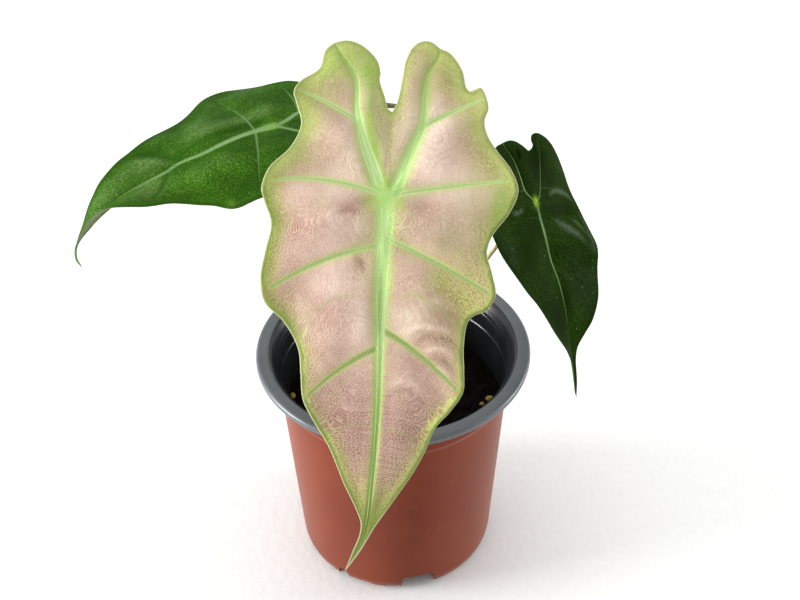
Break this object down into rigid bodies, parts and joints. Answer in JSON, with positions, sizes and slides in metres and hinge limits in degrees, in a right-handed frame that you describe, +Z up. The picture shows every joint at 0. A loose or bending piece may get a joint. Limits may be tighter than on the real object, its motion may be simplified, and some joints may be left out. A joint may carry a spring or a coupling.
{
  "type": "potted kris plant",
  "caption": "Young arrow-leaved aroid with long-stalked, veined, drip-tipped leaves, growing in dark mix in a small two-tone nursery pot with cut feet.",
  "frame": {"origin": "centre of the bounding box's footprint, on the surface that the pot stands on; the pot's axis stands 17.5 mm to +X and 23.5 mm to +Y of it", "axes": "+Z up, along the pot's axis; -Y the front, the side that the large pink leaf hangs over; +X to the right seen from the front, the dark leaf's side"},
  "size_m": [0.2102, 0.167, 0.2529],
  "materials": {
    "leaf_pink": "satin, dusty pink with green veins",
    "leaf_green": "satin, mid green with grey-green veins",
    "leaf_dark": "satin, very dark green with grey-green veins",
    "petiole": "satin, olive mottled with tan",
    "soil": "crumbly peat mix, matte",
    "pot": "satin terracotta outside, dark grey inside and on the rim",
    "granule": "resin-coated, golden"
  },
  "bodies": {
    "root": {"front_leaf": "leaf_pink", "left_leaf": "leaf_green", "right_leaf": "leaf_dark", "front_petiole": "petiole", "left_petiole": "petiole", "right_petiole": "petiole", "soil": "soil", "pot": "pot", "granule_left": "granule", "granule_right": "granule", "granule_right_small": "granule"}
  },
  "joints": []
}
